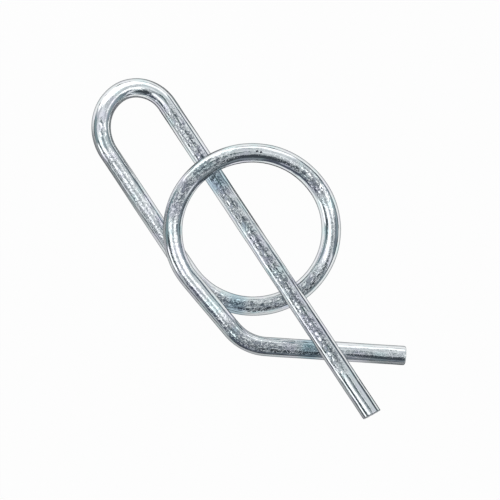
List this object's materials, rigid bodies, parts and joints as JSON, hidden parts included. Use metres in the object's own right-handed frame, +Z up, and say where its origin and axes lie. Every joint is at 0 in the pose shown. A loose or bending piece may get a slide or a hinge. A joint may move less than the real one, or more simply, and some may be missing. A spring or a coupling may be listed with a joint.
{
  "type": "locking ring cotter pin",
  "caption": "Spring-wire cotter pin with a straight leg for a cross hole, a U-bend, a ring that snaps round the shaft, and a tail to lift the ring by.",
  "frame": {"origin": "centre of the ring's bore", "axes": "+X from the U-bend towards the tip of the straight leg, +Z up from the bench that the clip lies on, +Y towards the tail's side"},
  "size_m": [0.0497, 0.0211, 0.0072],
  "materials": {
    "zinc_wire": "bright zinc plate over drawn spring steel wire, with fine marks along the wire"
  },
  "bodies": {
    "root": {"wire_clip": "zinc_wire"}
  },
  "joints": []
}
